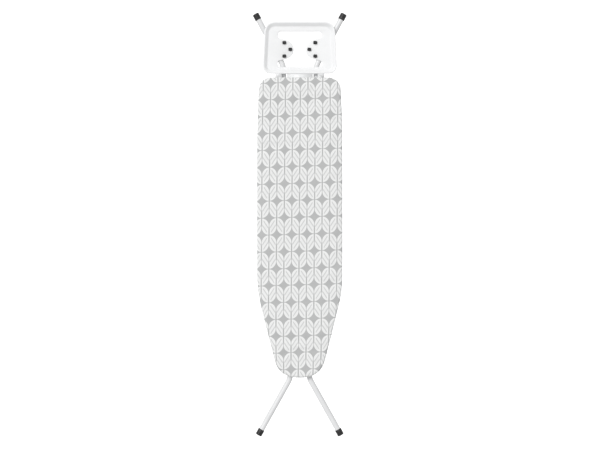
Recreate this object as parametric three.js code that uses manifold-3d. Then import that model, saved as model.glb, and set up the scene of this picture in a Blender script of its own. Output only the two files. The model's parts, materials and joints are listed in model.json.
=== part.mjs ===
// A folding ironing board with a pressed steel iron rest, lying folded on its feet, cover side up.
// Millimetres, +Z up, the long way along Y: iron rest and heel at +Y, nose at -Y.
// The origin is on the floor, under the middle of the object.

import * as THREE from 'three';
import { mergeVertices } from 'three/addons/utils/BufferGeometryUtils.js';
import Module from 'manifold-3d';

const wasm = await Module();
wasm.setup();

// ---------------------------------------------------------------- driving dimensions

const GAP = 0.3; // between pieces that touch

// Board top, seen from above.
const HEEL_Y = 588;
const NOSE_Y = -612;
const HALF_WIDTH = 170;
const HEEL_HALF_WIDTH = 164;
const HEEL_CORNER = 50;
const FLARE_END_Y = 300; // where the sides reach their full width
const TAPER_CORNER_Y = -267; // where the straight side would meet the taper
const TAPER_BLEND = 75;
const TAPER_SLOPE = 0.252;
const NOSE_CURVE_Y = -542;

// Board top, layer by layer from below.
const HEM_Z = 26.6;
const FRAME_Z = 28.3;
const FRAME_HEIGHT = 16.7;
const FRAME_SHEET = 1.6;
const FRAME_FLANGE = 16;
const FRAME_INSET = 2;
const MESH_THICKNESS = 1;
const PAD_THICKNESS = 8;
const CLOTH = 1.5;
const MESH_Z = FRAME_Z + FRAME_HEIGHT + GAP;
const PAD_Z = MESH_Z + MESH_THICKNESS + GAP;
const COVER_TOP_Z = PAD_Z + PAD_THICKNESS + GAP + CLOTH;

// Legs. Both pairs lie in one level plane when folded.
const LEG_Z = 13;
const TUBE_RADIUS = 11;
const TUBE_WALL = 1.3;
const TUBE_SIDES = 14;
const BEND_RADIUS = 70;
const UPPER_ARM = 400; // crossing to board hinge, and crossing to slide bar
const ARM_OVERHANG = 14;
const OUTER_LEG = { x: 66, footX: 176, footY: 842.3, bendY: 638, braceY: 545 };
const INNER_LEG = { x: 38, footX: 163.8, footY: -842.3, bendY: -617, braceY: -560 };
const BRACE_RADIUS = 8;
const FOOT_RADIUS = 13;
const FOOT_LENGTH = 26.5;
const FOOT_FLOOR = 4;
const RIVET_RADIUS = 4;
const HINGE_PIN_RADIUS = 5;
const SLIDE_BAR_RADIUS = 6;
const RAISED_ANGLES = [30, 34.25, 38.5, 42.75, 47]; // degrees, one for each working height

// Underside steelwork.
const STEEL = 2;
const STRAP_WIDTH = 30;
const STRAP_Z = FRAME_Z + FRAME_HEIGHT - STEEL - 0.1;
const STRAPS = { hinge: -UPPER_ARM, middle: 95, heel: 460 };
const HANGER_TOP = STRAP_Z - GAP;
const RAIL = {
  x: 19, startY: 82, endY: 472, bottomZ: 2.5, flange: 12,
  slotStartY: 128, slotEndY: 410, slotHalf: 7.6,
};
const LEVER = {
  y: 430, z: 32, radius: 4, startX: -30, armX: 134, bendRadius: 16,
  dropStart: 44, dropEnd: 74, gripZ: 25, gripY: 340, endY: 238,
};
const LATCH = { thickness: 3, topZ: 31, endY: 122, clearance: 0.7, notchHalf: 7, notchDepth: 4.5, head: 10 };
const SPRING = { x: 92, coil: 5.8, wire: 0.8, turns: 5, pitch: 2.1 };

// Iron rest: a pressed tray with a sloped wall and an outward lip.
const REST = {
  farY: 812, nearY: 604, farHalf: 140, nearHalf: 150, farCorner: 46, nearCorner: 37,
  baseZ: 26, sheet: 2, height: 14, lip: 6, wallRun: 11,
};
const REST_MIDDLE_Y = (REST.farY + REST.nearY) / 2;

// Its neck goes in through a slot in the edge frame, and steps down to a foot on the frame's flange.
const NECK = {
  z: 36.8, half: 98, farY: 612, stepY: 580, footY: 571, footZ: FRAME_Z + FRAME_SHEET + GAP,
  windowX: 62, windowWidth: 20, windowNearY: 588.5, windowFarY: 603,
  screwX: 38, screwY: 575, screwHole: 2.4,
};

// Its see-through opening: a far lobe and a near lobe, joined between the tips of two tongues.
const OPENING = {
  farLobe: { outerY: 774, innerY: 744, half: 88, straight: 74, round: 14 },
  nearLobe: { outerY: 631, innerY: 660, half: 90, straight: 76, round: 14 },
  shoulderX: 42, shoulderDrop: 4, tipRound: 23,
};
const TONGUE = { y: 702, tipX: 25, knobTipX: 38, knobX: 62, knobY: 27 };
const KNOB = { halfX: 7.7, halfY: 6.6, corner: 4.2, height: 9, edge: 1.6 };

// ---------------------------------------------------------------- materials

function finish(color, roughness, metalness) {
  return new THREE.MeshStandardMaterial({ color, roughness, metalness });
}

const whiteCoat = finish(0xf1f2f2, 0.35, 0.1);
const zinc = finish(0xb9bcc0, 0.4, 0.9);
const meshSteel = finish(0xdfe0e0, 0.45, 0.3);
const blackPlastic = finish(0x18191a, 0.5, 0);
const silicone = finish(0x101112, 0.6, 0);
const nylon = finish(0xe8e6df, 0.5, 0);
const felt = finish(0xd8d4c8, 0.95, 0);
const printedCotton = finish(0xc9cbcb, 0.9, 0);

// ---------------------------------------------------------------- solids

// Turns a closed three.js geometry into a solid that can be joined and cut.
function solid(geometry) {
  const bare = geometry.clone();
  bare.deleteAttribute('normal');
  bare.deleteAttribute('uv');
  const merged = mergeVertices(bare, 1e-3);
  const corners = merged.index.array;
  const kept = [];
  for (let i = 0; i < corners.length; i += 3) {
    const [a, b, c] = [corners[i], corners[i + 1], corners[i + 2]];
    if (a !== b && b !== c && c !== a) {
      kept.push(a, b, c);
    }
  }
  return new wasm.Manifold(new wasm.Mesh({
    numProp: 3,
    vertProperties: new Float32Array(merged.attributes.position.array),
    triVerts: new Uint32Array(kept),
  }));
}

// Makes the named mesh of a finished solid.
function piece(name, body, material) {
  const { vertProperties, triVerts } = body.getMesh();
  const geometry = new THREE.BufferGeometry();
  geometry.setAttribute('position', new THREE.BufferAttribute(vertProperties, 3));
  geometry.setIndex(new THREE.BufferAttribute(triVerts, 1));
  geometry.computeVertexNormals();
  const mesh = new THREE.Mesh(geometry, material);
  mesh.name = name;
  return mesh;
}

function block(x0, x1, y0, y1, z0, z1) {
  const geometry = new THREE.BoxGeometry(x1 - x0, y1 - y0, z1 - z0);
  return solid(geometry.translate((x0 + x1) / 2, (y0 + y1) / 2, (z0 + z1) / 2));
}

// A level plate: a shape seen from above, raised from z0 to z1.
function plate(shape, z0, z1) {
  const geometry = new THREE.ExtrudeGeometry(shape, { depth: z1 - z0, bevelEnabled: false });
  return solid(geometry.translate(0, 0, z0));
}

// An upright plate: a shape drawn with Y to the right and Z up, standing from x0 to x1.
function uprightPlate(shape, x0, x1) {
  const geometry = new THREE.ExtrudeGeometry(
    shape, { depth: x1 - x0, bevelEnabled: false, curveSegments: 8 });
  const turn = new THREE.Matrix4().makeBasis(
    new THREE.Vector3(0, 1, 0), new THREE.Vector3(0, 0, 1), new THREE.Vector3(1, 0, 0));
  return solid(geometry.applyMatrix4(turn).translate(x0, 0, 0));
}

// A rod lying along X.
function crossRod(radius, x0, x1, y, z, sides = 16) {
  const geometry = new THREE.CylinderGeometry(radius, radius, x1 - x0, sides);
  return solid(geometry.rotateZ(Math.PI / 2).translate((x0 + x1) / 2, y, z));
}

function uprightRod(radius, x, y, z0, z1, sides = 12) {
  const geometry = new THREE.CylinderGeometry(radius, radius, z1 - z0, sides);
  return solid(geometry.rotateX(Math.PI / 2).translate(x, y, (z0 + z1) / 2));
}

// A turned piece standing on the XY plane: profile points are [radius, height].
function turned(profile, sides = 16) {
  const points = profile.map(([radius, height]) => new THREE.Vector2(radius, height));
  return solid(new THREE.LatheGeometry(points, sides).rotateX(Math.PI / 2));
}

function circle(radius, sides) {
  const points = [];
  for (let i = 0; i < sides; i += 1) {
    const angle = (2 * Math.PI * i) / sides;
    points.push(new THREE.Vector2(radius * Math.cos(angle), radius * Math.sin(angle)));
  }
  return points;
}

// A route given by the stations it passes through.
class StationRoute extends THREE.Curve {
  constructor(stations) {
    super();
    this.stations = stations;
  }

  getPointAt(u) {
    return this.stations[Math.round(u * (this.stations.length - 1))].clone();
  }

  getTangentAt(u) {
    const last = this.stations.length - 1;
    const i = Math.round(u * last);
    const tangent = new THREE.Vector3();
    if (i > 0) {
      tangent.add(this.stations[i].clone().sub(this.stations[i - 1]).normalize());
    }
    if (i < last) {
      tangent.add(this.stations[i + 1].clone().sub(this.stations[i]).normalize());
    }
    return tangent.normalize();
  }
}

// Straight runs between corners, each corner rounded to the bend radius.
function bentRoute(corners, bendRadius, bendSteps) {
  const stations = [corners[0]];
  for (let i = 1; i < corners.length - 1; i += 1) {
    const along = corners[i].clone().sub(corners[i - 1]).normalize();
    const next = corners[i + 1].clone().sub(corners[i]).normalize();
    const turn = along.angleTo(next);
    const inward = next.clone().addScaledVector(along, -along.dot(next)).normalize();
    const start = corners[i].clone().addScaledVector(along, -bendRadius * Math.tan(turn / 2));
    for (let step = 0; step <= bendSteps; step += 1) {
      const angle = (turn * step) / bendSteps;
      stations.push(start.clone()
        .addScaledVector(along, bendRadius * Math.sin(angle))
        .addScaledVector(inward, bendRadius * (1 - Math.cos(angle))));
    }
  }
  stations.push(corners[corners.length - 1]);
  return new StationRoute(stations);
}

// A round bar or, with a wall, an open-ended tube along a route.
function tubeAlong(route, radius, wall, sides) {
  const section = new THREE.Shape(circle(radius, sides));
  if (wall > 0) {
    section.holes.push(new THREE.Path(circle(radius - wall, sides)));
  }
  const steps = route.stations.length - 1;
  return solid(new THREE.ExtrudeGeometry(section, { steps, extrudePath: route }));
}

// ---------------------------------------------------------------- outlines

// Half of a closed outline, from its +Y end to its -Y end, mirrored about X = 0.
function mirrored(path, divisions) {
  const right = path.getPoints(divisions);
  const left = right.slice(1, -1).reverse().map((point) => new THREE.Vector2(-point.x, point.y));
  return [...right, ...left];
}

// Moves every point of a clockwise outline inward by the same distance.
function inset(points, distance) {
  return points.map((point, i) => {
    const before = points[(i + points.length - 1) % points.length];
    const after = points[(i + 1) % points.length];
    const along = point.clone().sub(before).normalize();
    const next = after.clone().sub(point).normalize();
    const inward = new THREE.Vector2(along.y + next.y, -along.x - next.x).normalize();
    const spread = inward.dot(new THREE.Vector2(along.y, -along.x));
    return point.clone().addScaledVector(inward, distance / spread);
  });
}

function boardOutline(distance) {
  const taperX = (y) => HALF_WIDTH - TAPER_SLOPE * (TAPER_CORNER_Y - y);
  const half = new THREE.Path();
  half.moveTo(0, HEEL_Y);
  half.lineTo(HEEL_HALF_WIDTH - HEEL_CORNER, HEEL_Y);
  half.absarc(HEEL_HALF_WIDTH - HEEL_CORNER, HEEL_Y - HEEL_CORNER, HEEL_CORNER, Math.PI / 2, 0, true);
  half.quadraticCurveTo(HALF_WIDTH, FLARE_END_Y + 120, HALF_WIDTH, FLARE_END_Y);
  half.lineTo(HALF_WIDTH, TAPER_CORNER_Y + TAPER_BLEND);
  half.quadraticCurveTo(
    HALF_WIDTH, TAPER_CORNER_Y, taperX(TAPER_CORNER_Y - TAPER_BLEND), TAPER_CORNER_Y - TAPER_BLEND);
  half.lineTo(taperX(NOSE_CURVE_Y), NOSE_CURVE_Y);
  half.bezierCurveTo(taperX(NOSE_CURVE_Y) - 10, NOSE_CURVE_Y - 41, 62, NOSE_Y, 0, NOSE_Y);
  return inset(mirrored(half, 6), distance);
}

// Half the board's width, less an inset, at one place along it.
function boardHalfWidth(y, distance) {
  const points = boardOutline(distance).filter((point) => point.x > 0);
  const i = points.findIndex((point) => point.y <= y);
  const t = (y - points[i - 1].y) / (points[i].y - points[i - 1].y);
  return THREE.MathUtils.lerp(points[i - 1].x, points[i].x, t);
}

function boardPlate(distance, z0, z1) {
  return plate(new THREE.Shape(boardOutline(distance)), z0, z1);
}

function restOutline(distance) {
  const { farY, nearY, farHalf, nearHalf, farCorner, nearCorner } = REST;
  const sideX = (y) => THREE.MathUtils.mapLinear(y, farY, nearY, farHalf, nearHalf);
  const half = new THREE.Path();
  half.moveTo(0, farY);
  half.lineTo(farHalf - farCorner, farY);
  half.quadraticCurveTo(farHalf, farY, sideX(farY - farCorner), farY - farCorner);
  half.lineTo(sideX(nearY + nearCorner), nearY + nearCorner);
  half.quadraticCurveTo(nearHalf, nearY, nearHalf - nearCorner, nearY);
  half.lineTo(0, nearY);
  return inset(mirrored(half, 6), distance);
}

function restOpening() {
  const { farLobe, nearLobe, shoulderX, shoulderDrop, tipRound } = OPENING;
  const { y, tipX } = TONGUE;
  const half = new THREE.Path();
  half.moveTo(0, farLobe.outerY);
  half.lineTo(farLobe.straight, farLobe.outerY);
  half.quadraticCurveTo(farLobe.half, farLobe.outerY, farLobe.half, farLobe.outerY - farLobe.round);
  half.quadraticCurveTo(farLobe.half, farLobe.innerY + 2, farLobe.straight, farLobe.innerY);
  half.bezierCurveTo(shoulderX, farLobe.innerY - shoulderDrop, tipX, y + tipRound, tipX, y);
  half.bezierCurveTo(
    tipX, y - tipRound, shoulderX, nearLobe.innerY + shoulderDrop, nearLobe.straight, nearLobe.innerY);
  half.quadraticCurveTo(nearLobe.half, nearLobe.innerY - 2, nearLobe.half, nearLobe.outerY + nearLobe.round);
  half.quadraticCurveTo(nearLobe.half, nearLobe.outerY, nearLobe.straight, nearLobe.outerY);
  half.lineTo(0, nearLobe.outerY);
  return new THREE.Shape(mirrored(half, 7));
}

// ---------------------------------------------------------------- board top

function cover() {
  const underside = boardPlate(FRAME_INSET + FRAME_FLANGE + 1, HEM_Z - 5, FRAME_Z + 5);
  const notchHalf = NECK.half + 4;
  const neckTop = NECK.z + REST.sheet + GAP;
  const neckNotch = block(-notchHalf, notchHalf, NECK.footY - 5, HEEL_Y + 5, HEM_Z - 5, neckTop);
  return boardPlate(0, HEM_Z, COVER_TOP_Z)
    .subtract(boardPlate(CLOTH, HEM_Z + CLOTH, COVER_TOP_Z - CLOTH))
    .subtract(underside)
    .subtract(neckNotch);
}

function restScrewHole(side) {
  return uprightRod(NECK.screwHole, side * NECK.screwX, NECK.screwY, FRAME_Z - 1, NECK.footZ + 4);
}

function edgeFrame() {
  const wall = boardPlate(FRAME_INSET, FRAME_Z, FRAME_Z + FRAME_HEIGHT)
    .subtract(boardPlate(FRAME_INSET + FRAME_SHEET, FRAME_Z - 1, FRAME_Z + FRAME_HEIGHT + 1));
  const flange = boardPlate(FRAME_INSET, FRAME_Z, FRAME_Z + FRAME_SHEET)
    .subtract(boardPlate(FRAME_INSET + FRAME_FLANGE, FRAME_Z - 1, FRAME_Z + FRAME_HEIGHT));
  const slotHalf = NECK.half + GAP;
  const neckSlot = block(
    -slotHalf, slotHalf, HEEL_Y - 2 * FRAME_INSET - 1, HEEL_Y, NECK.z - GAP, NECK.z + REST.sheet + GAP);
  let frame = wall.add(flange).subtract(neckSlot);
  for (const side of [-1, 1]) {
    frame = frame.subtract(restScrewHole(side));
  }
  return frame;
}

function strap(y) {
  const reach = FRAME_INSET + FRAME_SHEET + GAP;
  const half = Math.min(
    boardHalfWidth(y - STRAP_WIDTH / 2, reach), boardHalfWidth(y + STRAP_WIDTH / 2, reach)) - GAP;
  return block(-half, half, y - STRAP_WIDTH / 2, y + STRAP_WIDTH / 2, STRAP_Z, STRAP_Z + STEEL);
}

// ---------------------------------------------------------------- iron rest

// A tray-shaped block: the rest's outline at the top, drawn in evenly towards the bottom.
function taperedTray(topInset, bottomInset, z0, z1) {
  const geometry = new THREE.ExtrudeGeometry(
    new THREE.Shape(restOutline(topInset)), { depth: z1 - z0, bevelEnabled: false });
  const halfWidth = (REST.farHalf + REST.nearHalf) / 2 - topInset;
  const halfLength = (REST.farY - REST.nearY) / 2 - topInset;
  const shrinkX = (halfWidth + topInset - bottomInset) / halfWidth;
  const shrinkY = (halfLength + topInset - bottomInset) / halfLength;
  const position = geometry.attributes.position;
  for (let i = 0; i < position.count; i += 1) {
    if (position.getZ(i) < (z1 - z0) / 2) {
      position.setX(i, position.getX(i) * shrinkX);
      position.setY(i, REST_MIDDLE_Y + (position.getY(i) - REST_MIDDLE_Y) * shrinkY);
    }
  }
  return solid(geometry.translate(0, 0, z0));
}

// The flat strip from under the near lip into the board, and the step down to its foot.
function restNeck() {
  const { z, half, farY, stepY, footY, footZ } = NECK;
  let neck = block(-half, half, stepY, farY, z, z + REST.sheet)
    .add(block(-half, half, stepY, stepY + REST.sheet, footZ, z + REST.sheet))
    .add(block(-half, half, footY, stepY + REST.sheet, footZ, footZ + REST.sheet));
  for (const side of [-1, 1]) {
    const left = side * NECK.windowX - NECK.windowWidth / 2;
    const right = left + NECK.windowWidth;
    neck = neck
      .subtract(block(left, right, NECK.windowNearY, NECK.windowFarY, z - 1, z + 4))
      .subtract(restScrewHole(side));
  }
  return neck;
}

function ironRest() {
  const { baseZ, sheet, height, lip, wallRun } = REST;
  const topZ = baseZ + height;
  const rim = plate(new THREE.Shape(restOutline(0)), topZ - sheet, topZ);
  return taperedTray(lip, lip + wallRun, baseZ, topZ)
    .add(rim)
    .subtract(taperedTray(lip + sheet, lip + wallRun + sheet, baseZ + sheet, topZ + 0.5))
    .subtract(plate(restOpening(), baseZ - 1, topZ + 1))
    .add(restNeck());
}

// A silicone stud: a rounded rectangle with a softened top edge.
function knob() {
  const { halfX, halfY, corner, height, edge } = KNOB;
  const [x, y, r] = [halfX - edge, halfY - edge, corner - edge];
  const shape = new THREE.Shape();
  shape.moveTo(-x, -y + r);
  shape.absarc(-x + r, y - r, r, Math.PI, Math.PI / 2, true);
  shape.absarc(x - r, y - r, r, Math.PI / 2, 0, true);
  shape.absarc(x - r, -y + r, r, 0, -Math.PI / 2, true);
  shape.absarc(-x + r, -y + r, r, -Math.PI / 2, -Math.PI, true);
  const geometry = new THREE.ExtrudeGeometry(shape, {
    depth: height - edge, bevelThickness: edge, bevelSize: edge, bevelSegments: 2, curveSegments: 3,
  });
  return solid(geometry).subtract(block(-2 * halfX, 2 * halfX, -2 * halfY, 2 * halfY, -2 * edge, 0));
}

// The screw's head is below the frame's flange and its nut is above the neck's foot.
function restScrew() {
  const nutZ = NECK.footZ + REST.sheet + GAP;
  const headZ = FRAME_Z - GAP;
  return turned([
    [0, headZ - 2.2], [3, headZ - 2.2], [5, headZ - 1], [5, headZ],
    [2, headZ], [2, nutZ], [4.2, nutZ], [4.2, nutZ + 3], [0, nutZ + 3],
  ], 12);
}

// ---------------------------------------------------------------- legs

function legTube(leg, side) {
  const plane = (x, y) => new THREE.Vector3(side * x, y, LEG_Z);
  const topY = -Math.sign(leg.footY) * (UPPER_ARM + ARM_OVERHANG);
  return tubeAlong(
    bentRoute([plane(leg.x, topY), plane(leg.x, leg.bendY), plane(leg.footX, leg.footY)], BEND_RADIUS, 5),
    TUBE_RADIUS, TUBE_WALL, TUBE_SIDES);
}

function boredLeg(leg, side, endRadius) {
  const inner = side * leg.x - 20;
  const endY = -Math.sign(leg.footY) * UPPER_ARM;
  return legTube(leg, side)
    .subtract(crossRod(RIVET_RADIUS + GAP, inner, inner + 40, 0, LEG_Z))
    .subtract(crossRod(endRadius + GAP, inner, inner + 40, endY, LEG_Z));
}

// A cup over the end of the tube, centred on the leg's foot point.
function footCap(leg, side) {
  const r = FOOT_RADIUS;
  const end = FOOT_LENGTH;
  const bore = TUBE_RADIUS + GAP;
  const floor = FOOT_FLOOR;
  const cap = new THREE.LatheGeometry([
    [0, 0], [r - 3, 0], [r - 0.8, 0.9], [r, 3], [r, end - 1.5], [r - 1, end],
    [bore, end], [bore, floor], [0, floor],
  ].map(([radius, height]) => new THREE.Vector2(radius, height)), 20);
  const inward = new THREE.Vector3(side * (leg.x - leg.footX), leg.bendY - leg.footY, 0).normalize();
  const turn = new THREE.Quaternion().setFromUnitVectors(new THREE.Vector3(0, 1, 0), inward);
  const outerEnd = new THREE.Vector3(side * leg.footX, leg.footY, LEG_Z)
    .addScaledVector(inward, -FOOT_FLOOR - GAP);
  return solid(cap.applyQuaternion(turn).translate(outerEnd.x, outerEnd.y, outerEnd.z));
}

// A cross tube with its ends cut to sit against the two legs.
function legBrace(leg) {
  const saddleX = leg.x;
  let brace = crossRod(BRACE_RADIUS, -saddleX, saddleX, leg.braceY, LEG_Z);
  for (const side of [-1, 1]) {
    const seat = new THREE.CylinderGeometry(TUBE_RADIUS + GAP, TUBE_RADIUS + GAP, 60, 24);
    brace = brace.subtract(solid(seat.translate(side * saddleX, leg.braceY, LEG_Z)));
  }
  return brace;
}

// A headed rivet through both tubes at the crossing.
function crossingRivet(side) {
  const inner = INNER_LEG.x - TUBE_RADIUS - GAP;
  const outer = OUTER_LEG.x + TUBE_RADIUS + GAP;
  const profile = [
    [0, inner - 2.5], [6, inner - 2.5], [8, inner - 1], [8, inner], [RIVET_RADIUS, inner],
    [RIVET_RADIUS, outer], [8, outer], [8, outer + 1], [6, outer + 2.5], [0, outer + 2.5],
  ].map(([radius, height]) => new THREE.Vector2(radius, height));
  const geometry = new THREE.LatheGeometry(profile, 16).rotateZ((-side * Math.PI) / 2);
  return solid(geometry.translate(0, 0, LEG_Z));
}

function crossingWasher(side) {
  const inner = side * (INNER_LEG.x + TUBE_RADIUS + GAP);
  const outer = side * (OUTER_LEG.x - TUBE_RADIUS - GAP);
  const [x0, x1] = [Math.min(inner, outer), Math.max(inner, outer)];
  return crossRod(10, x0, x1, 0, LEG_Z, 20).subtract(crossRod(RIVET_RADIUS + GAP, x0 - 1, x1 + 1, 0, LEG_Z));
}

function slideBar() {
  const half = INNER_LEG.x + TUBE_RADIUS + 2;
  return crossRod(SLIDE_BAR_RADIUS, -half, half, UPPER_ARM, LEG_Z, 18);
}

// A nylon sleeve on the slide bar, running in one rail's slot.
function glide(side) {
  const middle = side * (RAIL.x + STEEL / 2);
  return crossRod(RAIL.slotHalf - GAP, middle - 2.5, middle + 2.5, UPPER_ARM, LEG_Z, 20)
    .subtract(crossRod(SLIDE_BAR_RADIUS + 0.2, middle - 4, middle + 4, UPPER_ARM, LEG_Z, 18));
}

// ---------------------------------------------------------------- underside

function ear(y, z, radius, topZ) {
  const shape = new THREE.Shape();
  shape.moveTo(y - radius - 6, topZ);
  shape.lineTo(y - radius, z);
  shape.absarc(y, z, radius, Math.PI, 2 * Math.PI, false);
  shape.lineTo(y + radius + 6, topZ);
  return shape;
}

// Two ears that straddle the end of one outer leg, under a foot that is riveted to the strap.
function hingeBracket(side) {
  const y = -UPPER_ARM;
  const clear = TUBE_RADIUS + 0.8;
  const outline = ear(y, LEG_Z, 10, HANGER_TOP);
  const outside = OUTER_LEG.x + clear;
  const inside = OUTER_LEG.x - clear - STEEL;
  const mirror = (x0, x1) => (side > 0 ? [x0, x1] : [-x1, -x0]);
  const [a0, a1] = mirror(outside, outside + STEEL);
  const [b0, b1] = mirror(inside, inside + STEEL);
  const [f0, f1] = mirror(inside, outside + 16);
  const bore = HINGE_PIN_RADIUS + GAP;
  return uprightPlate(outline, a0, a1)
    .add(uprightPlate(outline, b0, b1))
    .add(block(f0, f1, y - 14, y + 14, HANGER_TOP - STEEL, HANGER_TOP))
    .subtract(crossRod(bore, f0 - 1, f1 + 1, y, LEG_Z));
}

function hingePin(side) {
  const inner = OUTER_LEG.x - TUBE_RADIUS - 4;
  const outer = OUTER_LEG.x + TUBE_RADIUS + 0.8 + STEEL + GAP;
  const profile = [
    [0, inner], [HINGE_PIN_RADIUS, inner], [HINGE_PIN_RADIUS, outer],
    [8, outer], [8, outer + 1], [6.5, outer + 2.2], [0, outer + 2.2],
  ].map(([radius, height]) => new THREE.Vector2(radius, height));
  const geometry = new THREE.LatheGeometry(profile, 16).rotateZ((-side * Math.PI) / 2);
  return solid(geometry.translate(0, -UPPER_ARM, LEG_Z));
}

// An angle rail with a long slot for the slide bar and a hole for the lever.
function slideRail(side) {
  const { x, startY, endY, bottomZ, flange, slotStartY, slotEndY, slotHalf } = RAIL;
  const web = new THREE.Shape();
  web.moveTo(startY, HANGER_TOP);
  web.lineTo(startY, LEG_Z + slotHalf);
  web.quadraticCurveTo(startY, bottomZ, startY + 40, bottomZ);
  web.lineTo(slotEndY + 8, bottomZ);
  web.quadraticCurveTo(endY, bottomZ, endY, LEG_Z + 12);
  web.lineTo(endY, HANGER_TOP);
  const slot = new THREE.Path();
  slot.absarc(slotStartY + slotHalf, LEG_Z, slotHalf, Math.PI / 2, (3 * Math.PI) / 2, false);
  slot.absarc(slotEndY - slotHalf, LEG_Z, slotHalf, -Math.PI / 2, Math.PI / 2, false);
  web.holes.push(slot);
  const [x0, x1] = side > 0 ? [x, x + STEEL] : [-x - STEEL, -x];
  const [f0, f1] = side > 0 ? [x, x + flange] : [-x - flange, -x];
  return uprightPlate(web, x0, x1)
    .add(block(f0, f1, startY, endY, HANGER_TOP - STEEL, HANGER_TOP))
    .subtract(crossRod(LEVER.radius + GAP, x0 - 2, x1 + 2, LEVER.y, LEVER.z));
}

// A flat strip with one notch for each working height, carried by the lever's shaft.
function latchStrip() {
  const { thickness, topZ, endY, clearance, notchHalf, notchDepth, head } = LATCH;
  const bottom = LEG_Z + SLIDE_BAR_RADIUS + clearance;
  const half = thickness / 2;
  const shape = new THREE.Shape();
  shape.moveTo(LEVER.y + head, LEVER.z + 8);
  shape.lineTo(LEVER.y - head, LEVER.z + 8);
  shape.lineTo(LEVER.y - head - 8, topZ);
  shape.lineTo(endY, topZ);
  shape.lineTo(endY, bottom + 3);
  shape.lineTo(endY + 4, bottom);
  for (const angle of [...RAISED_ANGLES].reverse()) {
    const y = UPPER_ARM * (2 * Math.cos(THREE.MathUtils.degToRad(angle)) - 1);
    shape.lineTo(y - notchHalf, bottom);
    shape.lineTo(y - notchHalf + 1.5, bottom + notchDepth);
    shape.lineTo(y + notchHalf - 4, bottom + notchDepth);
    shape.lineTo(y + notchHalf, bottom);
  }
  shape.lineTo(LEVER.y - head, bottom);
  shape.lineTo(LEVER.y + head, bottom + 4);
  return uprightPlate(shape, -half, half)
    .subtract(crossRod(LEVER.radius + GAP, -half - 1, half + 1, LEVER.y, LEVER.z));
}

// Bent wire: a shaft along X that turns into an arm along the right-hand edge.
function releaseLever() {
  const { y, z, startX, armX, dropStart, dropEnd, gripZ, endY } = LEVER;
  const corners = [
    new THREE.Vector3(startX, y, z),
    new THREE.Vector3(armX, y, z),
    new THREE.Vector3(armX, y - dropStart, z),
    new THREE.Vector3(armX, y - dropEnd, gripZ),
    new THREE.Vector3(armX, endY + FOOT_FLOOR, gripZ),
  ];
  return tubeAlong(bentRoute(corners, LEVER.bendRadius, 4), LEVER.radius, 0, 10);
}

function leverGrip() {
  const length = LEVER.gripY - LEVER.endY;
  const bore = LEVER.radius + GAP;
  return turned([
    [0, 0], [5, 0], [7, 1.5], [7.5, 5], [7.5, length - 6], [6.5, length], [bore, length],
    [bore, FOOT_FLOOR - GAP], [0, FOOT_FLOOR - GAP],
  ], 16);
}

// A hanger for the lever's shaft between the outer leg and the lever's arm.
function leverBracket() {
  const x = OUTER_LEG.x + 22;
  const shape = new THREE.Shape();
  shape.moveTo(LEVER.y - 12, LEVER.z);
  shape.absarc(LEVER.y - 3, LEVER.z, 9, Math.PI, (3 * Math.PI) / 2, false);
  shape.lineTo(STRAPS.heel + 12, LEVER.z + 2);
  shape.lineTo(STRAPS.heel + 12, HANGER_TOP);
  shape.lineTo(LEVER.y - 12, HANGER_TOP);
  return uprightPlate(shape, x, x + STEEL)
    .add(block(x, x + 14, STRAPS.heel - 12, STRAPS.heel + 12, HANGER_TOP - STEEL, HANGER_TOP))
    .subtract(crossRod(LEVER.radius + GAP, x - 1, x + 4, LEVER.y, LEVER.z));
}

// The lever's return spring, a coil round the shaft.
function leverSpring() {
  const { x, coil, wire, turns, pitch } = SPRING;
  const stations = [];
  for (let i = 0; i <= turns * 12; i += 1) {
    const angle = (Math.PI * i) / 6;
    stations.push(new THREE.Vector3(
      x + (pitch * i) / 12, LEVER.y + coil * Math.sin(angle), LEVER.z + coil * Math.cos(angle)));
  }
  return tubeAlong(new StationRoute(stations), wire, 0, 6);
}

// ---------------------------------------------------------------- assembly

const SIDES = { left: -1, right: 1 };

const boardTop = new THREE.Group();
boardTop.add(
  piece('cover', cover(), printedCotton),
  piece('pad', boardPlate(FRAME_INSET, PAD_Z, PAD_Z + PAD_THICKNESS), felt),
  piece('mesh_panel', boardPlate(FRAME_INSET, MESH_Z, MESH_Z + MESH_THICKNESS), meshSteel),
  piece('edge_frame', edgeFrame(), whiteCoat),
);
for (const [place, y] of Object.entries(STRAPS)) {
  boardTop.add(piece(`${place}_strap`, strap(y), whiteCoat));
}

const rest = new THREE.Group();
rest.add(piece('iron_rest', ironRest(), whiteCoat));
for (const [sideName, side] of Object.entries(SIDES)) {
  const places = {
    far: [TONGUE.knobX, TONGUE.y + TONGUE.knobY],
    tip: [TONGUE.knobTipX, TONGUE.y],
    near: [TONGUE.knobX, TONGUE.y - TONGUE.knobY],
  };
  for (const [placeName, [x, y]] of Object.entries(places)) {
    const stud = piece(`rest_knob_${sideName}_${placeName}`, knob(), silicone);
    stud.position.set(side * x, y, REST.baseZ + REST.sheet + GAP);
    rest.add(stud);
  }
  const screw = piece(`rest_screw_${sideName}`, restScrew(), zinc);
  screw.position.set(side * NECK.screwX, NECK.screwY, 0);
  rest.add(screw);
}

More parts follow.
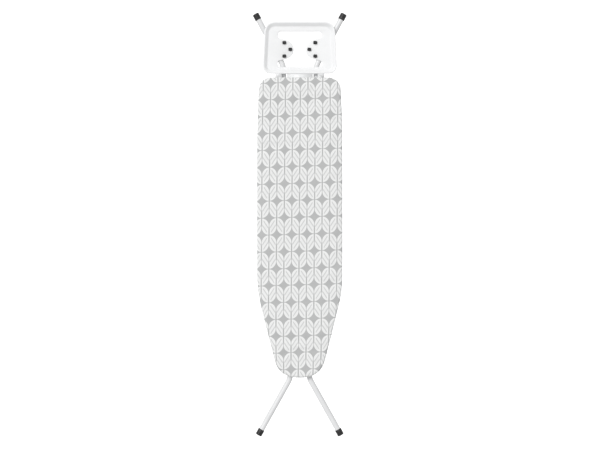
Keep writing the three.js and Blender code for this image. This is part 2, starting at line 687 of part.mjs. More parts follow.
const outerLegs = new THREE.Group();
const innerLegs = new THREE.Group();
const underside = new THREE.Group();
for (const [sideName, side] of Object.entries(SIDES)) {
  outerLegs.add(
    piece(`outer_leg_${sideName}`, boredLeg(OUTER_LEG, side, HINGE_PIN_RADIUS), whiteCoat),
    piece(`outer_foot_${sideName}`, footCap(OUTER_LEG, side), blackPlastic),
    piece(`crossing_rivet_${sideName}`, crossingRivet(side), zinc),
    piece(`crossing_washer_${sideName}`, crossingWasher(side), nylon),
  );
  innerLegs.add(
    piece(`inner_leg_${sideName}`, boredLeg(INNER_LEG, side, SLIDE_BAR_RADIUS), whiteCoat),
    piece(`inner_foot_${sideName}`, footCap(INNER_LEG, side), blackPlastic),
    piece(`glide_${sideName}`, glide(side), nylon),
  );
  underside.add(
    piece(`hinge_bracket_${sideName}`, hingeBracket(side), whiteCoat),
    piece(`hinge_pin_${sideName}`, hingePin(side), zinc),
    piece(`slide_rail_${sideName}`, slideRail(side), whiteCoat),
  );
}
outerLegs.add(piece('outer_brace', legBrace(OUTER_LEG), whiteCoat));
innerLegs.add(
  piece('inner_brace', legBrace(INNER_LEG), whiteCoat),
  piece('slide_bar', slideBar(), zinc),
);

const grip = piece('lever_grip', leverGrip(), blackPlastic);
grip.rotation.x = -Math.PI / 2;
grip.position.set(LEVER.armX, LEVER.endY, LEVER.gripZ);
underside.add(
  piece('release_lever', releaseLever(), zinc),
  piece('latch_strip', latchStrip(), zinc),
  grip,
  piece('lever_bracket', leverBracket(), whiteCoat),
  piece('lever_spring', leverSpring(), zinc),
);

const ironingBoard = new THREE.Group();
ironingBoard.add(boardTop, rest, outerLegs, innerLegs, underside);

export default ironingBoard;
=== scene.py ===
"""Looks of the folding ironing board: printed cover, mesh top, iron rest, scissor legs and latch."""

import json
import math
import random
from contextlib import contextmanager

import bmesh
import bpy
import numpy as np
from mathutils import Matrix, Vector
from mathutils.geometry import tessellate_polygon
from mathutils.kdtree import KDTree


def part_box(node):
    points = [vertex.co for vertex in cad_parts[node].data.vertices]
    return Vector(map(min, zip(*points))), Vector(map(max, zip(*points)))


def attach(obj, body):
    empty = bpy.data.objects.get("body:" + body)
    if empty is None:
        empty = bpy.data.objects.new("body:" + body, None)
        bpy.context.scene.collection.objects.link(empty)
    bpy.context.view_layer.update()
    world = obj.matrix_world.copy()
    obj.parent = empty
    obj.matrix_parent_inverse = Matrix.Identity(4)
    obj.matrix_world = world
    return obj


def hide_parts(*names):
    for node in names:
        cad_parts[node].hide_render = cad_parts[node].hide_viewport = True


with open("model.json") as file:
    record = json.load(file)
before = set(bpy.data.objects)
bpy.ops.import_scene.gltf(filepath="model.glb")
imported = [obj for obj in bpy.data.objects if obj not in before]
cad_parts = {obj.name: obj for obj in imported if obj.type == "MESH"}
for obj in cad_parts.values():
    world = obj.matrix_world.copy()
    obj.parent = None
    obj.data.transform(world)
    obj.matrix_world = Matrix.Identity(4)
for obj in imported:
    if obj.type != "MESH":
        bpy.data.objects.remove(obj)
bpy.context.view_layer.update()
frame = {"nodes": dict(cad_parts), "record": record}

NODES = frame["nodes"]
RECORD = frame["record"]
BODY_OF = {node: body for body, nodes in RECORD["behaviour"]["bodies"].items() for node in nodes}
SLOT_OF = {part["node"]: part["material_slot"] for part in RECORD["subparts"]}
SIDES = {"left": -1, "right": 1}


# ------------------------------------------------------------------ places taken from the frame

def low(node):
    return np.array(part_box(node)[0], float)


def high(node):
    return np.array(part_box(node)[1], float)


def middle(node):
    return (low(node) + high(node)) / 2


def span(node):
    return high(node) - low(node)


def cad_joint(name):
    return next(joint for joint in RECORD["behaviour"]["joints"] if joint["name"] == name)


HALF_WIDTH = high("cover")[0]
HEEL_Y = high("cover")[1]
NOSE_Y = low("cover")[1]
COVER_TOP = high("cover")[2]
COVER_LOW = low("cover")[2]
LEG_Z = middle("slide_bar")[2]
TUBE_RADIUS = 0.011
TUBE_WALL = 0.0013


# ------------------------------------------------------------------ camera, lights and floor

SKY_LIGHT = 0.64
SKY_SEEN = 1.0


def build_stage():
    scene = bpy.context.scene
    scene.view_settings.view_transform = "Standard"
    scene.view_settings.look = "None"

    lens = bpy.data.cameras.new("camera")
    lens.lens = 85
    lens.sensor_width = 36
    camera = bpy.data.objects.new("camera", lens)
    seen_width = 2.4
    camera.location = (0.001, -0.002, 0.04 + seen_width * lens.lens / lens.sensor_width)
    scene.collection.objects.link(camera)
    scene.camera = camera

    world = bpy.data.worlds.new("studio")
    world.use_nodes = True
    sky = world.node_tree.nodes["Background"]
    sky.inputs["Color"].default_value = (1, 1, 1, 1)
    g = Graph(world)
    seen = g.add("ShaderNodeLightPath").outputs["Is Camera Ray"]
    g.feed(sky.inputs["Strength"], g.math("MULTIPLY_ADD", seen, SKY_SEEN - SKY_LIGHT, SKY_LIGHT))
    scene.world = world

    add_sun("key", (-0.42, 0.36, 0.83), 1.62, 20)

    bpy.ops.mesh.primitive_plane_add(size=60, location=(0, 0, standing_height()))
    floor = bpy.context.object
    floor.name = "studio_floor"
    floor.data.materials.append(bright_floor())


def standing_height():
    """The level that the feet reach when the legs are fully unfolded, below the fixed board."""
    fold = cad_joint("leg_fold")
    turn = math.radians(fold["range_deg"][1])
    reach = high("outer_foot_right")[1] - fold["pos_m"][1]
    foot_radius = span("outer_foot_right")[2] / 2
    return fold["pos_m"][2] - reach * math.sin(turn) - foot_radius * math.cos(turn)


def bright_floor():
    """A pale floor that the camera sees as white from above, and sees through from below."""
    material, shader = new_material("floor_white", (0.60, 0.60, 0.60), roughness=0.8)
    shader.inputs["Specular IOR Level"].default_value = 0.1
    shader.inputs["Emission Color"].default_value = (1, 1, 1, 1)
    g = Graph(material)
    seen = g.add("ShaderNodeLightPath").outputs["Is Camera Ray"]
    g.feed(shader.inputs["Emission Strength"], g.math("MULTIPLY", seen, 0.68))
    underneath = g.add("ShaderNodeNewGeometry").outputs["Backfacing"]
    split = g.add("ShaderNodeMixShader")
    g.feed(split.inputs[0], g.math("MULTIPLY", seen, underneath))
    g.links.new(shader.outputs[0], split.inputs[1])
    g.links.new(g.add("ShaderNodeBsdfTransparent").outputs[0], split.inputs[2])
    g.links.new(split.outputs[0], material.node_tree.nodes["Material Output"].inputs["Surface"])
    return material


def add_sun(name, toward, strength, spread):
    lamp = bpy.data.lights.new(name, "SUN")
    lamp.energy = strength
    lamp.angle = math.radians(spread)
    obj = bpy.data.objects.new(name, lamp)
    obj.location = Vector(toward) * 3
    obj.rotation_euler = (-Vector(toward)).to_track_quat("-Z", "Y").to_euler()
    bpy.context.scene.collection.objects.link(obj)


# ------------------------------------------------------------------ node helpers

class Graph:
    """Short names for the shader nodes of one material."""

    def __init__(self, material):
        self.nodes = material.node_tree.nodes
        self.links = material.node_tree.links

    def add(self, kind, **settings):
        node = self.nodes.new(kind)
        for key, value in settings.items():
            setattr(node, key, value)
        return node

    def feed(self, socket, value):
        if isinstance(value, bpy.types.NodeSocket):
            self.links.new(value, socket)
        else:
            socket.default_value = value

    def math(self, operation, *values):
        node = self.add("ShaderNodeMath", operation=operation)
        for socket, value in zip(node.inputs, values):
            self.feed(socket, value)
        return node.outputs[0]

    def ramp(self, value, start, end):
        """0 at start, 1 at end, with a smooth step between them."""
        node = self.add("ShaderNodeMapRange", interpolation_type="SMOOTHSTEP")
        self.feed(node.inputs["Value"], value)
        node.inputs["From Min"].default_value = start
        node.inputs["From Max"].default_value = end
        return node.outputs[0]

    def mix(self, factor, first, second):
        node = self.add("ShaderNodeMix", data_type="RGBA")
        self.feed(node.inputs[0], factor)
        for socket, value in ((node.inputs[6], first), (node.inputs[7], second)):
            self.feed(socket, value if isinstance(value, bpy.types.NodeSocket) else (*value, 1))
        return node.outputs[2]

    def noise(self, scale, detail=3.0, vector=None, roughness=0.55):
        node = self.add("ShaderNodeTexNoise")
        node.inputs["Scale"].default_value = scale
        node.inputs["Detail"].default_value = detail
        node.inputs["Roughness"].default_value = roughness
        self.feed(node.inputs["Vector"], vector or self.place())
        return node.outputs["Fac"]

    def place(self):
        return self.add("ShaderNodeTexCoord").outputs["Object"]

    def bump(self, height, strength, distance, before=None):
        node = self.add("ShaderNodeBump")
        node.inputs["Strength"].default_value = strength
        node.inputs["Distance"].default_value = distance
        self.feed(node.inputs["Height"], height)
        if before is not None:
            self.links.new(before, node.inputs["Normal"])
        return node.outputs["Normal"]


def new_material(name, color, roughness=0.5, metallic=0.0):
    material = bpy.data.materials.new(name)
    material.use_nodes = True
    shader = material.node_tree.nodes["Principled BSDF"]
    shader.inputs["Base Color"].default_value = (*color, 1)
    shader.inputs["Roughness"].default_value = roughness
    shader.inputs["Metallic"].default_value = metallic
    return material, shader


# ------------------------------------------------------------------ materials

def powder_coat(name, color, dusk):
    """Satin powder coat: fine orange peel and a very slight unevenness of tone."""
    material, shader = new_material(name, color)
    g = Graph(material)
    tone = g.ramp(g.noise(14, 4), 0.3, 0.75)
    g.feed(shader.inputs["Base Color"], g.mix(tone, color, dusk))
    g.feed(shader.inputs["Roughness"], g.math("MULTIPLY_ADD", g.noise(60, 3), 0.16, 0.26))
    peel = g.bump(g.noise(900, 2), 0.10, 0.0004)
    g.feed(shader.inputs["Normal"], g.bump(g.noise(190, 2), 0.08, 0.0008, peel))
    return material


def zinc_plate():
    """Bright zinc: cloudy spangle, faint drawing marks."""
    material, shader = new_material("zinc", (0.66, 0.67, 0.69), metallic=1.0)
    g = Graph(material)
    cloud = g.ramp(g.noise(120, 5), 0.35, 0.7)
    g.feed(shader.inputs["Base Color"], g.mix(cloud, (0.70, 0.71, 0.72), (0.52, 0.53, 0.56)))
    g.feed(shader.inputs["Roughness"], g.math("MULTIPLY_ADD", g.noise(260, 4), 0.25, 0.2))
    g.feed(shader.inputs["Normal"], g.bump(g.noise(700, 3), 0.12, 0.0004))
    return material


def moulded(name, color, light, roughness, grain):
    """Moulded plastic or rubber: spark-eroded grain and rubbed lighter patches."""
    material, shader = new_material(name, color)
    g = Graph(material)
    rubbed = g.ramp(g.noise(55, 5), 0.5, 0.8)
    g.feed(shader.inputs["Base Color"], g.mix(rubbed, color, light))
    g.feed(shader.inputs["Roughness"], g.math("MULTIPLY_ADD", g.noise(300, 3), 0.2, roughness - 0.1))
    g.feed(shader.inputs["Normal"], g.bump(g.noise(grain, 2), 0.25, 0.0003))
    return material


def needled_felt():
    """Felt backing: matted fibres with darker flecks."""
    material, shader = new_material("felt", (0.7, 0.68, 0.63), roughness=0.95)
    g = Graph(material)
    stretched = g.add("ShaderNodeMapping")
    stretched.inputs["Scale"].default_value = (1, 2.6, 1)
    g.links.new(g.place(), stretched.inputs["Vector"])
    fibre = g.noise(620, 6, stretched.outputs[0], 0.75)
    fleck = g.ramp(g.noise(240, 6), 0.62, 0.72)
    cloth = g.mix(g.ramp(fibre, 0.35, 0.65), (0.58, 0.56, 0.52), (0.76, 0.75, 0.71))
    g.feed(shader.inputs["Base Color"], g.mix(fleck, cloth, (0.42, 0.42, 0.43)))
    g.feed(shader.inputs["Normal"], g.bump(fibre, 0.6, 0.0012))
    shader.inputs["Sheen Weight"].default_value = 0.25
    return material


# The print repeats in cells of half a period by one row. A leaf fills a cell corner to corner,
# and the arcs that round its other two corners leave the dark stars between the leaves.
CELL = 0.0298
ROW = 0.0675
PRINT_SKEW = 0.0075 # lean of the columns
PRINT_TILT = 0.033 # rise of the rows to the right
PRINT_X = -0.0272
PRINT_Y = 0.5695
STAR_RISE = 0.46
VEIN_TURN = math.radians(57)
VEIN_PITCH = 0.0132
STAR_INK = (0.47, 0.475, 0.475)
STEM_INK = (0.40, 0.405, 0.405)
VEIN_INK = (0.62, 0.625, 0.625)
BODY_INK = (0.805, 0.81, 0.805)
LEAF_INK = (0.825, 0.83, 0.825)


class Leaf:
    """Where a point lies in its printed leaf, from flat cloth coordinates held in the UV map."""

    def __init__(self, g):
        flat = g.add("ShaderNodeSeparateXYZ")
        g.links.new(g.add("ShaderNodeUVMap", uv_map="cloth").outputs[0], flat.inputs[0])
        wander = g.math("MULTIPLY_ADD", g.noise(5, 1), 0.002, -0.001)
        level = g.math("MULTIPLY_ADD", flat.outputs[0], -PRINT_TILT, flat.outputs[1])
        y = g.math("ADD", level, wander)
        skewed = g.math("MULTIPLY_ADD", g.math("SUBTRACT", y, PRINT_Y), -PRINT_SKEW, flat.outputs[0])
        columns = g.math("DIVIDE", g.math("SUBTRACT", skewed, PRINT_X), CELL)
        rows = g.math("DIVIDE", g.math("SUBTRACT", y, PRINT_Y), ROW)
        cell = g.math("ADD", g.math("FLOOR", columns), g.math("FLOOR", rows))
        mirrored = g.math("FLOORED_MODULO", cell, 2.0)
        step = g.math("FRACT", columns)
        other = g.math("SUBTRACT", 1.0, step)
        # across is mirrored in every other cell, so that each leaf rises with it
        self.across = g.math("MULTIPLY_ADD", mirrored, g.math("SUBTRACT", other, step), step)
        self.back = g.math("SUBTRACT", 1.0, self.across)
        self.up = g.math("FRACT", rows)
        self.down = g.math("SUBTRACT", 1.0, self.up)


def arc(g, across, rise):
    """Distance from the middle of a corner arc, 1 on the arc, and how far into the corner's height."""
    height = g.math("DIVIDE", g.math("MAXIMUM", g.math("SUBTRACT", STAR_RISE, rise), 0.0), STAR_RISE)
    side = g.math("SUBTRACT", 1.0, across)
    squares = g.math("ADD", g.math("MULTIPLY", side, side), g.math("MULTIPLY", height, height))
    return g.math("SQRT", squares), height


def leaf_print(g):
    """The printed colour: white leaves with slanting veins, and grey stars, stems and row lines."""
    leaf = Leaf(g)
    first, first_height = arc(g, leaf.across, leaf.down)
    second, second_height = arc(g, leaf.back, leaf.up)
    reach = g.math("MAXIMUM", first, second)
    height = g.math("MAXIMUM", first_height, second_height)
    in_star = g.math("MULTIPLY", g.ramp(reach, 0.955, 0.985), g.ramp(height, 0.0, 0.05))
    between_rows = g.ramp(g.math("MINIMUM", leaf.up, leaf.down), 0.014, 0.005)
    outline = g.math("MULTIPLY_ADD", g.ramp(height, 0.0, 0.45), 0.15, reach)
    in_leaf = g.ramp(outline, 0.915, 0.875)

    slope_up, slope_across = math.cos(VEIN_TURN) * ROW, math.sin(VEIN_TURN) * CELL
    rising = g.math("MULTIPLY_ADD", leaf.up, slope_up, -slope_up / 2)
    running = g.math("MULTIPLY_ADD", leaf.across, slope_across, -slope_across / 2)
    off_axis = g.math("DIVIDE", g.math("SUBTRACT", rising, running), VEIN_PITCH)
    in_vein = g.math("MULTIPLY", g.ramp(g.math("PINGPONG", off_axis, 0.5), 0.26, 0.40), in_leaf)

    stems = []
    for side, end in ((leaf.across, leaf.up), (leaf.back, leaf.down)):
        stems.append(g.math("MULTIPLY", g.ramp(side, 0.10, 0.05), g.ramp(end, 0.6, 0.35)))
    in_stem = g.math("MAXIMUM", *stems)
    seam = g.ramp(g.math("MINIMUM", leaf.across, leaf.back), 0.055, 0.02)

    leaf_color = g.mix(g.ramp(outline, 0.84, 0.73), LEAF_INK, BODY_INK)
    veined = g.mix(in_vein, leaf_color, VEIN_INK)
    parted = g.mix(g.math("MULTIPLY", seam, 0.8), veined, VEIN_INK)
    stemmed = g.mix(in_stem, parted, STEM_INK)
    inked = g.mix(g.math("MAXIMUM", in_star, between_rows), stemmed, STAR_INK)
    faded = g.ramp(g.noise(30, 2), 0.3, 0.75)
    return g.mix(g.math("MULTIPLY", faded, 0.06), inked, (0.70, 0.70, 0.69))


def printed_cotton():
    material, shader = new_material("cover_print", (0.7, 0.7, 0.7), roughness=0.88)
    g = Graph(material)
    flat = g.add("ShaderNodeUVMap", uv_map="cloth").outputs[0]
    threads = []
    for direction in ("X", "Y"):
        wave = g.add("ShaderNodeTexWave", bands_direction=direction)
        wave.inputs["Scale"].default_value = 520
        wave.inputs["Distortion"].default_value = 0.35
        wave.inputs["Detail Scale"].default_value = 40
        g.links.new(flat, wave.inputs["Vector"])
        threads.append(wave.outputs["Fac"])
    weave = g.math("MAXIMUM", *threads)
    shade = g.math("MULTIPLY_ADD", weave, 0.08, 0.94)
    woven = g.add("ShaderNodeMix", data_type="RGBA", blend_type="MULTIPLY")
    woven.inputs[0].default_value = 1.0
    g.feed(woven.inputs[6], leaf_print(g))
    g.feed(woven.inputs[7], shade)
    g.feed(shader.inputs["Base Color"], woven.outputs[2])
    threads_up = g.bump(weave, 0.35, 0.0003)
    g.feed(shader.inputs["Normal"], g.bump(g.noise(45, 4), 0.25, 0.0012, threads_up))
    shader.inputs["Sheen Weight"].default_value = 0.15
    shader.inputs["Specular IOR Level"].default_value = 0.25
    return material


def build_materials():
    return {
        "cover_print": printed_cotton(),
        "felt": needled_felt(),
        "white_coat": powder_coat("white_coat", (0.87, 0.875, 0.88), (0.84, 0.845, 0.85)),
        # The leg tubes are white like the tray; this darker copy of the white coat paints shade onto them.
        "leg_coat_painted_shade": powder_coat("leg_coat_painted_shade", (0.76, 0.765, 0.77), (0.72, 0.725, 0.73)),
        "mesh_steel": powder_coat("mesh_steel", (0.80, 0.805, 0.81), (0.72, 0.725, 0.73)),
        "zinc": zinc_plate(),
        "black_plastic": moulded("black_plastic", (0.018, 0.018, 0.019), (0.05, 0.05, 0.052), 0.45, 1500),
        "silicone": moulded("silicone", (0.010, 0.010, 0.011), (0.03, 0.03, 0.031), 0.55, 900),
        "nylon": moulded("nylon", (0.76, 0.75, 0.70), (0.68, 0.66, 0.60), 0.5, 1100),
    }


# ------------------------------------------------------------------ mesh helpers

def make_object(name, points, faces, uvs=None):
    mesh = bpy.data.meshes.new(name)
    mesh.from_pydata([tuple(map(float, point)) for point in points], [], faces)
    if uvs is not None:
        layer = mesh.uv_layers.new(name="cloth")
        for loop in mesh.loops:
            layer.data[loop.index].uv = uvs[loop.vertex_index]
    obj = bpy.data.objects.new(name, mesh)
    bpy.context.scene.collection.objects.link(obj)
    return obj


@contextmanager
def editing(obj):
    """The object's mesh as a bmesh, written back at the end."""
    edit = bmesh.new()
    edit.from_mesh(obj.data)
    yield edit
    edit.to_mesh(obj.data)
    edit.free()


def merge_doubles(edit, distance):
    bmesh.ops.remove_doubles(edit, verts=edit.verts, dist=distance)


def smooth_faces(obj):
    obj.data.polygons.foreach_set("use_smooth", [True] * len(obj.data.polygons))


def finish_surface(obj, angle=38):
    """Merges doubled points, turns faces outward and smooths all but the sharp edges."""
    with editing(obj) as edit:
        merge_doubles(edit, 1e-6)
        bmesh.ops.dissolve_degenerate(edit, dist=1e-7, edges=edit.edges)
        bmesh.ops.recalc_face_normals(edit, faces=edit.faces)
    smooth_faces(obj)
    obj.data.set_sharp_from_angle(angle=math.radians(angle))
    return obj


def thicken(obj, thickness):
    """Gives a single skin a real thickness, half to each side."""
    sheet = obj.modifiers.new("thickness", "SOLIDIFY")
    sheet.thickness = thickness
    sheet.offset = 0


def stand_in(obj, node, look=None):
    """The piece stands for a CAD node: same body, same slot, and a look of its own if one is named."""
    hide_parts(node)
    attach(obj, BODY_OF[node])
    obj.data.materials.clear()
    obj.data.materials.append(MATERIALS[look or SLOT_OF[node]])
    return obj


def grid_faces(rows, columns, start=0, closed=False):
    """Quads between rings of points, numbered from start. The last ring joins the first if closed."""
    faces = []
    for r in range(rows if closed else rows - 1):
        this_row = start + r * columns
        next_row = start + (r + 1) % rows * columns
        for c in range(columns):
            next_c = (c + 1) % columns
            faces.append((this_row + c, this_row + next_c, next_row + next_c, next_row + c))
    return faces


def skin(name, rings, uvs=None, closed=False, capped=False):
    """A surface from ring to ring of points, with a face across each end if capped."""
    points = [point for points_around in rings for point in points_around]
    columns = len(rings[0])
    faces = grid_faces(len(rings), columns, closed=closed)
    if capped:
        faces += [tuple(range(columns)), tuple(range(len(points) - columns, len(points)))]
    return make_object(name, points, faces, uvs)


def turned(name, profile, start, axis, sides=40):
    """A turned piece: profile points are (radius, distance along the axis from start)."""
    turn = Vector((0, 0, 1)).rotation_difference(Vector(axis)).to_matrix()
    rings = [[Vector(start) + turn @ Vector((a, b, distance)) for a, b in ring(radius, sides)]
             for radius, distance in profile]
    return finish_surface(skin(name, rings))


def swept(path, section):
    """Rings of a closed loop of (side, up) section points carried along a path of points."""
    rings = []
    up = None
    for i, place in enumerate(path):
        before = path[max(i - 1, 0)]
        after = path[min(i + 1, len(path) - 1)]
        along = (after - before).normalized()
        if up is None:
            up = along.orthogonal().normalized()
        up = (up - along * up.dot(along)).normalized()
        side = along.cross(up)
        rings.append([place + side * a + up * b for a, b in section])
    return rings


def ring(radius, sides):
    angles = [2 * math.pi * i / sides for i in range(sides)]
    return [(radius * math.cos(angle), radius * math.sin(angle)) for angle in angles]


def quarter(steps):
    """The angles of a quarter turn, from 0 to 90 degrees."""
    return [math.pi / 2 * step / steps for step in range(steps + 1)]


def domed(points, centre, outward):
    """Rings that close the end of a round bar in a low dome."""
    return [[centre + (point - centre) * inset + outward * rise for point in points]
            for inset, rise in ((0.88, 0.10), (0.6, 0.16))]


def rod(name, path, radius, sides=24):
    """A round bar along a path, with slightly domed ends."""
    rings = swept(path, ring(radius, sides))
    first = domed(rings[0], path[0], (path[0] - path[1]).normalized() * radius)
    last = domed(rings[-1], path[-1], (path[-1] - path[-2]).normalized() * radius)
    return finish_surface(skin(name, first[::-1] + rings + last, capped=True))


def bent(corners, radius, steps=14):
    """Straight runs between corners, each corner rounded to the bend radius."""
    corners = [Vector(corner) for corner in corners]
    path = [corners[0]]
    for before, corner, after in zip(corners, corners[1:], corners[2:]):
        along = (corner - before).normalized()
        leaving = (after - corner).normalized()
        turn = along.angle(leaving)
        inward = (leaving - along * along.dot(leaving)).normalized()
        start = corner - along * radius * math.tan(turn / 2)
        for step in range(steps + 1):
            angle = turn * step / steps
            path.append(start + along * radius * math.sin(angle) + inward * radius * (1 - math.cos(angle)))
    path.append(corners[-1])
    return path


def hollow_tube(name, path, radius, wall, sides=36):
    """An open-ended tube with real wall thickness: along the outer skin and back along the inner."""
    outer = swept(path, ring(radius, sides))
    inner = swept(path, ring(radius - wall, sides))
    return finish_surface(skin(name, outer + inner[::-1], closed=True))


def cut_box(obj, corner, opposite):
    """Cuts a box out of a closed mesh."""
    bpy.ops.mesh.primitive_cube_add(size=1, location=(Vector(corner) + Vector(opposite)) / 2)
    cutter = bpy.context.object
    cutter.scale = Vector(opposite) - Vector(corner)
    cut = obj.modifiers.new("slot", "BOOLEAN")
    cut.object = cutter
    cut.operation = "DIFFERENCE"
    graph = bpy.context.evaluated_depsgraph_get()
    obj.data = bpy.data.meshes.new_from_object(obj.evaluated_get(graph))
    obj.modifiers.clear()
    bpy.data.objects.remove(cutter)


# ------------------------------------------------------------------ outlines

def bezier(controls, steps):
    """Points of one Bezier curve, without its first point."""
    points = []
    for step in range(1, steps + 1):
        t = step / steps
        level = [np.array(point, float) for point in controls]
        while len(level) > 1:
            level = [a * (1 - t) + b * t for a, b in zip(level, level[1:])]
        points.append(level[0])
    return points


def mirrored_outline(half, spacing):
    """A closed outline with evenly spaced points, from its right half drawn from +Y to -Y."""
    half = np.array(half)
    lengths = np.concatenate([[0], np.cumsum(np.linalg.norm(np.diff(half, axis=0), axis=1))])
    count = int(lengths[-1] / spacing)
    at = np.linspace(0, lengths[-1], count + 1)
    right = np.stack([np.interp(at, lengths, half[:, k]) for k in range(2)], axis=1)
    left = right[1:-1][::-1] * (-1, 1)
    return np.concatenate([right, left])


def inward_normals(points):
    along = np.roll(points, -1, axis=0) - np.roll(points, 1, axis=0)
    along /= np.linalg.norm(along, axis=1, keepdims=True)
    return np.stack([along[:, 1], -along[:, 0]], axis=1)


def board_outline(spacing):
    """The board's edge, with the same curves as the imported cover."""
    corner_half, corner, flare = HALF_WIDTH - 0.006, 0.050, HEEL_Y - 0.288
    taper_y, blend, slope, nose_start = -0.267, 0.075, 0.252, -0.542

    def taper_x(y):
        return HALF_WIDTH - slope * (taper_y - y)

    half = [(0, HEEL_Y), (corner_half - corner, HEEL_Y)]
    for angle in quarter(24)[-2::-1]:
        half.append((corner_half - corner + corner * math.cos(angle),
                     HEEL_Y - corner + corner * math.sin(angle)))
    half += bezier([half[-1], (HALF_WIDTH, flare + 0.120), (HALF_WIDTH, flare)], 20)
    half.append((HALF_WIDTH, taper_y + blend))
    half += bezier([half[-1], (HALF_WIDTH, taper_y), (taper_x(taper_y - blend), taper_y - blend)], 20)
    half.append((taper_x(nose_start), nose_start))
    below = (taper_x(nose_start) - 0.010, nose_start - 0.041)
    half += bezier([half[-1], below, (0.062, NOSE_Y), (0, NOSE_Y)], 40)
    return mirrored_outline(half, spacing)


class Edge:
    """A closed outline that can be drawn in and lifted to make the rings of a skin."""

    def __init__(self, points):
        self.points = points
        self.normals = inward_normals(points)

    def ring(self, inset, z):
        return lifted(self.points + self.normals * np.reshape(inset, (-1, 1)), z)


def lifted(flat, z):
    return np.column_stack([flat, np.full(len(flat), z)])


def cap_rings(edge, inset, spine, counts):
    """Rings from an inset outline in to a spine line on X = 0, for a flat top or bottom."""
    start = edge.points + edge.normals * inset
    target = np.column_stack([np.zeros(len(start)), np.clip(start[:, 1], *spine)])
    return [start + (target - start) * k / counts for k in range(1, counts + 1)]


# ------------------------------------------------------------------ board top

CLOTH = 0.0014
TOP_SPAN = 0.012 # the part of the cover's height that the simulation may move
CASING_DROP = 0.0007 # how far the elastic's casing stands out from the hem
EDGE_STEPS = 8
FLAT_STEPS = 3
CASING_STEPS = 6
NECK_HALF = 0.098
NECK_Z = 0.0378
SPINE = (NOSE_Y + 0.11, HEEL_Y - 0.14)


def cover_stations():
    """(inset, height, how far along the cloth outward from the edge) from the top edge round to the hem."""
    top = COVER_TOP - CLOTH / 2
    bottom = COVER_LOW + CLOTH / 2
    skin = CLOTH / 2
    edge_round, hem_round = 0.0075, 0.0025
    stations = []
    travelled = -edge_round

    def add(inset, z):
        nonlocal travelled
        if stations:
            travelled += math.hypot(inset - stations[-1][0], z - stations[-1][1])
        stations.append((inset, z, travelled))

    for angle in quarter(EDGE_STEPS):
        add(skin + edge_round * (1 - math.sin(angle)), top - edge_round * (1 - math.cos(angle)))
    for step in range(1, 7):
        add(skin, top - edge_round + (bottom + hem_round - top + edge_round) * step / 6)
    for angle in quarter(4)[1:]:
        add(skin + hem_round * (1 - math.cos(angle)), bottom + hem_round * (1 - math.sin(angle)))
    flat_hem, casing = 0.0100, 0.0060
    for step in range(1, FLAT_STEPS + 1):
        add(skin + hem_round + flat_hem * step / FLAT_STEPS, bottom)
    for step in range(1, CASING_STEPS + 1):
        bulge = CASING_DROP * math.sin(math.pi * step / CASING_STEPS)
        add(skin + hem_round + flat_hem + casing * step / CASING_STEPS, bottom - bulge)
    return stations


def gathers(edge):
    """How strongly the hem puckers along the edge: most round the curved ends."""
    heading = np.unwrap(np.arctan2(edge.normals[:, 1], edge.normals[:, 0]))
    bend = np.clip(np.abs(np.gradient(heading)) * 60, 0, 1)
    margin, window = 20, 25
    round_the_seam = np.concatenate([bend[-margin:], bend, bend[:margin]])
    smooth = np.convolve(round_the_seam, np.ones(window) / window, "same")
    return 0.25 + 0.75 * smooth[margin:-margin]


def waves(count, seed, low_turns, high_turns, parts=7):
    """A smooth closed random wave along the edge, between about -1 and 1."""
    chance = random.Random(seed)
    angle = np.linspace(0, 2 * math.pi, count, endpoint=False)
    total = np.zeros(count)
    for _ in range(parts):
        total += np.sin(angle * chance.randint(low_turns, high_turns) + chance.uniform(0, 2 * math.pi))
    return total / (parts * 0.6)


def cover_skin(edge, stations):
    """Rings of the cover from the middle out to the hem, and where each lies on the flat cloth."""
    count = len(edge.points)
    pucker = gathers(edge)
    fine = waves(count, 4, 120, 170)
    coarse = waves(count, 9, 30, 60)
    skirt_start, hem_start = EDGE_STEPS, len(stations) - FLAT_STEPS - CASING_STEPS - 1
    rings, flat = [], []
    for k, (inset, z, travelled) in enumerate(stations):
        depth = max(0, k - skirt_start) / (len(stations) - 1 - skirt_start)
        sway = depth * (0.0009 * fine * pucker + 0.0004 * coarse)
        rise = 0.0010 * fine * pucker if k >= hem_start else 0
        rings.append(edge.ring(inset + np.abs(sway), z + rise))
        flat.append(edge.points - edge.normals * travelled)
    for cap in cap_rings(edge, stations[0][0], SPINE, 16):
        rings.insert(0, lifted(cap, COVER_TOP - CLOTH / 2))
        flat.insert(0, cap)
    return rings, flat


def build_cover():
    edge = Edge(board_outline(0.005))
    stations = cover_stations()
    rings, flat = cover_skin(edge, stations)
    obj = skin("cover_cloth", rings, np.concatenate(flat))
    with editing(obj) as edit:
        merge_doubles(edit, 1e-5)
        notch = [face for face in edit.faces if over_neck(face.calc_center_median())]
        bmesh.ops.delete(edit, geom=notch, context="FACES")
        bmesh.ops.recalc_face_normals(edit, faces=edit.faces)
    if obj.data.polygons[0].normal.z < 0:
        obj.data.flip_normals()
    puff_cover(obj)
    smooth_faces(obj)
    thicken(obj, CLOTH)
    stand_in(obj, "cover")


def over_neck(place):
    """The part of the skirt and the hem that is left open for the iron rest's neck."""
    return abs(place.x) < NECK_HALF + 0.005 and place.y > HEEL_Y - 0.03 and place.z < NECK_Z + 0.0012


PUFF_FRAMES = 20


